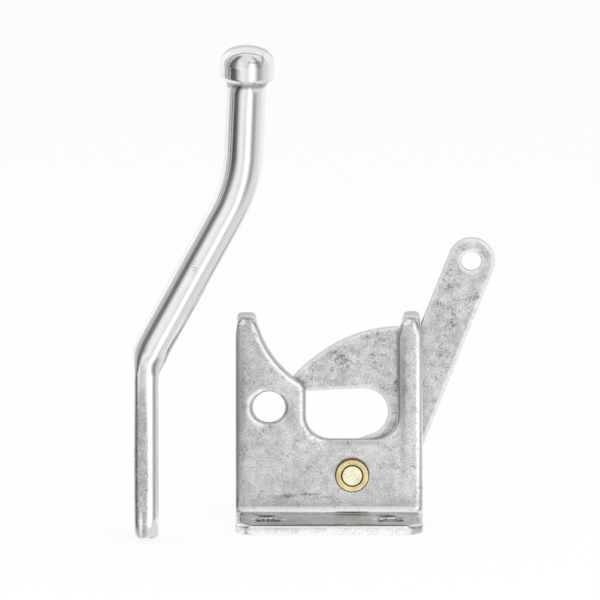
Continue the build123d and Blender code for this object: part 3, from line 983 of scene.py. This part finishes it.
# %% The sweep
def bent_path(tree, given, spot):
    """The path with its two bends rounded. Points 1 and 2 of the path are where it bends."""
    reach = []
    for number, title in ((1, "Lower bend radius"), (2, "Upper bend radius")):
        values = {2: spot, 3: number}
        at_bend = add_node(tree, "FunctionNodeCompare", values, data_type="INT", operation="EQUAL")
        reach.append(Number(at_bend.outputs[0]) * given[title])
    path = add_node(tree, "GeometryNodeObjectInfo", {"Object": given["Path"]}).outputs["Geometry"]
    bent = {"Curve": path, "Radius": reach[0] + reach[1], "Count": 40}
    return add_node(tree, "GeometryNodeFilletCurve", bent, mode="POLY").outputs["Curve"]


def sweep_tree():
    inputs = {
        "Stations": "NodeSocketGeometry",
        "Path": "NodeSocketObject",
        "Lower bend radius": 0.026,
        "Upper bend radius": 0.033,
        "Sides": 64,
        "Finish": "NodeSocketMaterial",
    }
    outputs = {"Bar": "NodeSocketGeometry"}
    tree, given, end = open_group("forged_bar_sweep", "GeometryNodeTree", inputs, outputs)
    spot = Number(tree.nodes.new("GeometryNodeInputIndex").outputs[0])
    stations = {"Geometry": given["Stations"]}

    # a grid with one row of points for each station, and where each point is in it
    around = Number(given["Sides"]) + 1
    size = add_node(tree, "GeometryNodeAttributeDomainSize", stations, component="MESH")
    counts = {"Vertices X": size.outputs["Point Count"], "Vertices Y": around}
    grid = add_node(tree, "GeometryNodeMeshGrid", counts)
    station = calc("FLOOR", spot / around)
    turn = spot - station * around
    angle = (turn + 0.5) * (2 * pi / Number(given["Sides"]))

    def at_station(name, kind):
        """What an attribute says at the point's own station."""
        read = add_node(tree, "GeometryNodeInputNamedAttribute", {"Name": name}, data_type=kind)
        take = add_node(tree, "GeometryNodeSampleIndex", data_type=kind, domain="POINT")
        return fill(take, stations | {"Index": station, "Value": read.outputs["Attribute"]}).outputs["Value"]

    def three(vector):
        return [Number(socket) for socket in add_node(tree, "ShaderNodeSeparateXYZ", {0: vector}).outputs]

    along = at_station("along", "FLOAT")
    half_thick, half_wide, outer = three(at_station("section", "FLOAT_VECTOR"))
    inner_thick, inner_wide, _ = three(at_station("corner", "FLOAT_VECTOR"))
    inner_side = calc("GREATER_THAN", calc("COSINE", angle), 0.0)

    def offset(direction, half, inner):
        """Corner arc moved out to its corner. Its size is another on the inner side of the bar."""
        unit = calc(direction, angle)
        reach = outer + (inner - outer) * inner_side
        return calc("SIGN", unit) * (half - reach) + unit * reach

    thick = offset("COSINE", half_thick, inner_thick)
    wide = offset("SINE", half_wide, inner_wide)

    # each point set off from its place on the path, square to the path
    on_path = {"Curves": bent_path(tree, given, spot), "Length": along}
    sample = add_node(tree, "GeometryNodeSampleCurve", on_path, mode="LENGTH").outputs
    square = vector_calc("NORMALIZE", vector_calc("CROSS_PRODUCT", (0, 1, 0), sample["Tangent"]))
    aside = vector_calc("SCALE", (0, 1, 0), wide)
    away = vector_calc("ADD", vector_calc("SCALE", square, thick), aside)
    place = vector_calc("ADD", sample["Position"], away)
    skin = add_node(tree, "GeometryNodeSetPosition", {"Geometry": grid.outputs["Mesh"], "Position": place})

    # where the point was before the bend, and the seam closed
    unbent = add_node(tree, "ShaderNodeCombineXYZ", {"X": thick, "Y": wide, "Z": along})
    store = {"Geometry": skin.outputs[0], "Name": "unbent", "Value": unbent.outputs[0]}
    kept = add_node(tree, "GeometryNodeStoreNamedAttribute", data_type="FLOAT_VECTOR", domain="POINT")
    closed = {"Geometry": fill(kept, store).outputs[0], "Distance": 2e-6}
    closed = add_node(tree, "GeometryNodeMergeByDistance", closed)
    real = add_node(tree, "GeometryNodeRealizeInstances", {0: closed.outputs[0]})
    finish = {"Geometry": real.outputs[0], "Material": given["Finish"]}
    fill(end, {"Bar": add_node(tree, "GeometryNodeSetMaterial", finish).outputs[0]})
    return tree


SWEEP = sweep_tree()
print("sweep tree nodes", len(SWEEP.nodes))

# %% [markdown]
# The stations follow the bar from its foot. The foot's end is a full round, so its stations lie
# closer where the outline turns fastest. Over the lower bend the flat turns to an oval, and over the
# upper bend the oval turns to a circle. The head is a cone, a rounded rim and a low dome.

# %% Sizes of the bar
BAR_SIDE, BAR_FRONT = -59.7, -14.9
SLOPE, NECK_LEAN = 28.6, 2.3
LOWER_BEND, UPPER_BEND = 26.0, 48.0
LOWER_HEIGHT, SLOPE_LENGTH, NECK_LENGTH = 59.9, 65.7, 33.6
LEG = (4.0, 8.7, 1.8, 4.6, 2.2)
OVAL = (5.9, 6.7, 5.9, 5.9, 5.9)
ROUND = (6.5,) * 5
FOOT_ROUND = 2.6
FORGING_START, FORGING_SPAN = 0.15, 0.55
HEAD = (12.4, 9.0, 15.0)
HEAD_UNDER, HEAD_UNDER_ROUND, HEAD_SHOULDER = 2.1, 1.2, 6.2


def eased(share):
    """Smooth step from 0 to 1."""
    held = min(max(share, 0), 1)
    return held * held * (3 - 2 * held)


def blend_sections(first, second, share):
    return tuple(a + (b - a) * eased(share) for a, b in zip(first, second))


# %% The head's profile
def head_profile():
    """Rows of height above the neck and radius, from the neck over the rim to the crown.

    The outline closes on the far side of the axis, and that part of it is left out of the rows."""
    tall, side, crown = HEAD
    centre = (tall - crown, 0)
    lean = degrees(asin(side / crown))
    top = arc_points(centre, crown, lean, 0.3 - lean, 2.5)
    corners = [(0, ROUND[0], 0), (HEAD_UNDER, side, HEAD_UNDER_ROUND), (*top[0], HEAD_SHOULDER), *top[1:]]
    corners += [(tall, 0.0001, 0), (tall, -30, 0), (0, -30, 0)]
    return [point for point in rounded(corners) if point[1] > 0]


# %% The stations
def bar_stations():
    """Rows of distance along the path, and half thickness, half width and the corners' sizes."""
    lower_reach = LOWER_BEND * tan(radians(SLOPE) / 2)
    upper_reach = UPPER_BEND * tan(radians(SLOPE - NECK_LEAN) / 2)
    lower_arc = LOWER_BEND * radians(SLOPE)
    upper_arc = UPPER_BEND * radians(SLOPE - NECK_LEAN)
    rows = []
    for number in range(25):
        angle = radians(90 * number / 24)
        half = max(LEG[1] * sin(angle), 0.0001)
        along = LEG[1] * (1 - cos(angle))
        short = max(1 - along / FOOT_ROUND, 0)
        thick = LEG[0] - FOOT_ROUND * 0.7 * (1 - sqrt(1 - short * short))
        corners = (min(LEG[2], half), min(LEG[3], thick * 1.15), min(LEG[4], half))
        rows.append((along, (thick, half, *corners)))
    mark = LOWER_HEIGHT - lower_reach
    rows += [(LEG[1] + (mark - LEG[1]) * i / 10, LEG) for i in range(1, 10)]
    for number in range(33):
        share = number / 32
        forged = (share - FORGING_START) / FORGING_SPAN
        rows.append((mark + lower_arc * share, blend_sections(LEG, OVAL, forged)))
    mark += lower_arc
    slope = SLOPE_LENGTH - lower_reach - upper_reach
    rows += [(mark + slope * i / 12, OVAL) for i in range(1, 12)]
    mark += slope
    for number in range(41):
        rows.append((mark + upper_arc * number / 40, blend_sections(OVAL, ROUND, number / 40)))
    mark += upper_arc
    neck = NECK_LENGTH - upper_reach
    rows += [(mark + neck * i / 8, ROUND) for i in range(1, 8)]
    mark += neck
    rows += [(mark + along, (radius,) * 5) for along, radius in head_profile()]
    return rows, mark + HEAD[0]


stations, path_length = bar_stations()
print("stations", len(stations), "path", round(path_length, 2), "mm")

# %% [markdown]
# The stations become the points of a small mesh with two attributes, which the tree reads by number.
# The path is a plain line with four points. Both are only input, and go once the bar is plain mesh.

# %% The bar
def path_object():
    lower = (BAR_SIDE, LOWER_HEIGHT)
    upper = on_circle(lower, SLOPE_LENGTH, 90 - SLOPE)
    end = on_circle(upper, NECK_LENGTH + HEAD[0] + 0.2, 90 - NECK_LEAN)
    curve = bpy.data.curves.new("bar_path", "CURVE")
    curve.dimensions = "3D"
    line = curve.splines.new("POLY")
    line.points.add(3)
    for point, (x, z) in zip(line.points, [(BAR_SIDE, 0), lower, upper, end]):
        point.co = (x * MM, BAR_FRONT * MM, z * MM, 1)
    return new_object("bar_path", curve)


def swept_bar():
    mesh = bpy.data.meshes.new("bar_stations")
    mesh.from_pydata([(row[0] * MM, 0, 0) for row in stations], [], [])
    along = mesh.attributes.new("along", "FLOAT", "POINT")
    section = mesh.attributes.new("section", "FLOAT_VECTOR", "POINT")
    corner = mesh.attributes.new("corner", "FLOAT_VECTOR", "POINT")
    for number, (distance, sizes) in enumerate(stations):
        along.data[number].value = distance * MM
        section.data[number].vector = [size * MM for size in sizes[:3]]
        corner.data[number].vector = [sizes[3] * MM, sizes[4] * MM, 0]
    holder = new_object("striker_bar_sweep", mesh)
    path = path_object()
    modifier = holder.modifiers.new("sweep", "NODES")
    modifier.node_group = SWEEP
    values = {
        "Path": path,
        "Lower bend radius": LOWER_BEND * MM,
        "Upper bend radius": UPPER_BEND * MM,
        "Sides": 128,
        "Finish": BAR_ZINC,
    }
    for item in SWEEP.interface.items_tree:
        if item.item_type == "SOCKET" and item.in_out == "INPUT" and item.name in values:
            modifier[item.identifier] = values[item.name]
    bar = plain_copy(holder, "striker_bar")
    bpy.data.objects.remove(path)
    return bar


bar_mesh = swept_bar()
print("swept faces", len(bar_mesh.polygons))

# %% [markdown]
# Two screws hold the leg to the gate. Their holes are cut with a turned cutter that widens a little
# at both faces, so that each hole gets its small chamfer in the same cut.

# %% The leg's holes
LEG_HOLES, LEG_HOLE = (12.0, 44.0), 3.4
STRAIGHT_PART, CUTTER_REACH, CUTTER_FLARE = 3.55, 6.0, 2.5


def tidy(mesh):
    """Clean a finished mesh and count the edges that are still open."""
    work = bmesh.new()
    work.from_mesh(mesh)
    clean(work, 2e-6, 1e-7)
    work.to_mesh(mesh)
    open_edges = sum(1 for edge in work.edges if not edge.is_manifold)
    work.free()
    mesh.shade_smooth()
    return open_edges


def drilled(mesh, name, heights, radius):
    """Mesh with a hole through the leg at each height."""
    wide = radius + CUTTER_FLARE
    ends = [(0.0, CUTTER_REACH), (wide, CUTTER_REACH), (radius, STRAIGHT_PART)]
    profile = [(r, -along) for r, along in ends] + ends[::-1]
    holder = new_object(name + "_work", mesh)
    cutters = []
    for height in heights:
        cutter = new_object("cutter", turned_mesh("cutter", profile, (BAR_SIDE, BAR_FRONT, height), "X", 64))
        cut = holder.modifiers.new("hole", "BOOLEAN")
        cut.operation = "DIFFERENCE"
        cut.solver = "EXACT"
        cut.object = cutter
        cutters.append(cutter)
    result = plain_copy(holder, name)
    for cutter in cutters:
        bpy.data.objects.remove(cutter)
    return result


print("open edges after the sweep", tidy(bar_mesh))
bar_mesh = drilled(bar_mesh, "striker_bar", LEG_HOLES, LEG_HOLE)
print("open edges after drilling", tidy(bar_mesh))
show("striker_bar", steady_normals(bar_mesh, "striker_bar"), BAR_ZINC, "latch")

# %% [markdown]
# ## The studio
# A bright metal shows the room more than the lamps, so the object stands in a light tent. The tent is
# a sphere of cloth, seen only in reflections. Its glow runs round the compass: a soft pale front, a
# bright strip to the right of the camera, a dark flag to the left and a grey one on the right. They
# give the bar its long dark and grey streaks and the rolled edges their light and dark sides.

# %% The tent's glow
CENTRE = Vector((-10, 5, 70)) * MM
TENT_RADIUS = 1.0
GLOW_ROUND = [
    (-180, 1.0), (-116, 0.98), (-107, 0.9), (-98, 0.3), (-90, 0.8), (-82, 0.1), (-75, 0.72), (-69, 0.1),
    (-54, 0.11), (-47, 0.2), (-41, 0.4), (-35, 0.7), (-29, 0.84), (-23, 0.97), (-12, 0.98), (-6, 0.88),
    (0, 0.84), (6, 0.98), (11, 1.15), (16, 1.45), (25, 1.45), (30, 1.08), (35, 0.78), (41, 0.52),
    (47, 0.38), (54, 0.4), (60, 0.52), (67, 0.68), (95, 0.84), (108, 0.96), (130, 1.0), (180, 1.0),
]
GLOW_ABOVE = 0.9
GLOW_BELOW = 0.8
GLOW_BEHIND = 0.68
GLOW_OVERHEAD = [
    (5, 0.0), (18, -0.12), (60, -0.06), (96, 0.0), (99, -0.4), (105, -0.4), (108, 0.25), (114, 0.25),
    (118, 0.0),
]


def towards(azimuth, elevation):
    """Direction from the centre: its turn to the right of the camera's side, and its height."""
    turn, rise = radians(azimuth), radians(elevation)
    return Vector((sin(turn) * cos(rise), -cos(turn) * cos(rise), sin(rise)))


def between_ends(table, place):
    """Value of a table of places and levels, in straight lines between its rows."""
    for (low, before), (high, after) in zip(table, table[1:]):
        if low <= place <= high:
            return before + (after - before) * (place - low) / (high - low)
    return table[-1][1]


def glow_towards(azimuth, elevation):
    """Radiance of the tent in one direction, 0 at the camera's side and positive to the right."""
    # on the left the pattern stands further round and a little brighter above the camera's height
    raised = eased((elevation + 5) / 15)
    if azimuth < -20:
        level = between_ends(GLOW_ROUND, min(azimuth + 8 * raised, -20)) + 0.1 * raised
    else:
        level = between_ends(GLOW_ROUND, azimuth)
    # the cloth behind the object, then the top and the floor's side, each with a level of its own
    behind = eased((abs(azimuth) - 142) / 20) * eased((elevation + 3) / 9) * eased((45 - elevation) / 20)
    level += (GLOW_BEHIND - level) * behind
    fade_start = 62 if level < 0.5 else 30
    level += (GLOW_ABOVE - level) * eased((elevation - fade_start) / 22)
    level += (GLOW_BELOW - level) * eased(((-14 if azimuth > 30 else -48) - elevation) / 22)
    # bands that run over the top from side to side, told by their angle up from the camera's side
    side, back, up = towards(azimuth, elevation)
    over = degrees(atan2(up, -back))
    aside = degrees(asin(min(abs(side), 1)))
    if GLOW_OVERHEAD[0][0] < over < GLOW_OVERHEAD[-1][0]:
        level += between_ends(GLOW_OVERHEAD, over) * eased((65 - aside) / 20)
    return max(level, 0.1)


print("glow at the front", [round(glow_towards(a, -11), 2) for a in (-60, -30, 0, 20, 45, 80)])

# %% Stage objects
def stage_material(name):
    """Empty material that is never sampled as a lamp, with its tree and its output."""
    material = bpy.data.materials.new(name)
    material.use_nodes = True
    material.cycles.emission_sampling = "NONE"
    tree = material.node_tree
    tree.nodes.clear()
    return material, tree, tree.nodes.new("ShaderNodeOutputMaterial")


def seen_in_reflections(name, mesh, strength):
    """Glowing stage object that only reflections show. Its strength is a number or an attribute's name."""
    material, tree, end = stage_material(name)
    if isinstance(strength, str):
        strength = attribute(tree, strength, "Fac")
    glow = add_node(tree, "ShaderNodeEmission", {"Strength": strength})
    fill(end, {"Surface": glow.outputs[0]})
    mesh.materials.append(material)
    board = new_object(name, mesh)
    for ray in ("camera", "diffuse", "transmission", "shadow"):
        setattr(board, "visible_" + ray, False)


# %% The light tent
def light_tent():
    work = bmesh.new()
    glow = work.verts.layers.float.new("glow")
    columns = []
    for azimuth in range(-180, 181):
        column = []
        for elevation in range(-90, 91, 2):
            vert = work.verts.new(CENTRE + towards(azimuth, elevation) * TENT_RADIUS)
            vert[glow] = glow_towards(azimuth, elevation)
            column.append(vert)
        columns.append(column)
    for left, right in zip(columns, columns[1:]):
        for i in range(len(left) - 1):
            work.faces.new((left[i], right[i], right[i + 1], left[i + 1]))
    seen_in_reflections("light_tent", mesh_from(work, "light_tent"), "glow")


light_tent()

# %% [markdown]
# The floor is left out of reflections, where the tent's lower half takes its place. Only close round
# the bracket's foot a white mat stands in for it, because the foot mirrors the floor beside it.

# %% The white just round the feet
def white_mat(name, low, high):
    """Flat rectangle on the floor that only reflections show, so feet reflect the floor beside them."""
    corners = [(low[0], low[1]), (high[0], low[1]), (high[0], high[1]), (low[0], high[1])]
    mesh = bpy.data.meshes.new(name)
    mesh.from_pydata([(x * MM, y * MM, -0.0001) for x, y in corners], [], [(0, 1, 2, 3)])
    seen_in_reflections(name, mesh, 1.0)


white_mat("mat_under_bracket", (-44, -30), (44, 30))

# %% [markdown]
# The tent gives matt surfaces no light. So two soft lamps light the floor and cast the shadows under
# the feet, a broad one overhead and a smaller one from the right. Neither is seen itself.

# %% Lamps
def soft_lamp(name, azimuth, elevation, distance, size, radiance):
    """Square lamp that lights the floor and casts the shadow. Its power follows from its brightness."""
    data = bpy.data.lights.new(name, "AREA")
    data.shape = "SQUARE"
    data.size = size
    data.energy = radiance * pi * size * size
    lamp = new_object(name, data)
    lamp.location = CENTRE + towards(azimuth, elevation) * distance
    lamp.rotation_euler = (-towards(azimuth, elevation)).to_track_quat("-Z", "Y").to_euler()
    lamp.visible_camera = False
    lamp.visible_glossy = False


soft_lamp("overhead", 0, 78, 0.9, 0.8, 1.3)
soft_lamp("key", 38, 42, 0.9, 0.4, 1.8)

# %% [markdown]
# The floor is pale. The camera sees most of it as plain white, and the rest is a matt white
# that keeps the shadow under the feet. The world is white to the camera, to reflections and through
# glass, and softer where it lights matt surfaces.

# %% Floor and world
def seen_directly(tree):
    """1 for what the camera, a reflection or a glass sees, and 0 for light on matt surfaces."""
    rays = tree.nodes.new("ShaderNodeLightPath").outputs
    direct = calc("MAXIMUM", rays["Is Camera Ray"], rays["Is Glossy Ray"])
    return calc("MAXIMUM", direct, rays["Is Transmission Ray"])


def pale_floor():
    bpy.ops.mesh.primitive_plane_add(size=12, location=(0, 0, -0.0002))
    floor = bpy.context.object
    floor.name = "floor"
    material, tree, end = stage_material("floor_white")
    matt = add_node(tree, "ShaderNodeBsdfDiffuse", {"Color": (0.9, 0.9, 0.9, 1)}).outputs[0]
    plain = add_node(tree, "ShaderNodeEmission", {"Strength": 1.0}).outputs[0]
    mix = add_node(tree, "ShaderNodeMixShader", {0: seen_directly(tree) * 0.86, 1: matt, 2: plain})
    fill(end, {"Surface": mix.outputs[0]})
    floor.data.materials.append(material)
    floor.visible_glossy = False


def white_world():
    world = bpy.data.worlds.new("studio")
    bpy.context.scene.world = world
    world.use_nodes = True
    tree = world.node_tree
    strength = 0.8 + seen_directly(tree) * 0.2
    fill(tree.nodes["Background"], {"Color": (1, 1, 1, 1), "Strength": strength})


pale_floor()
white_world()
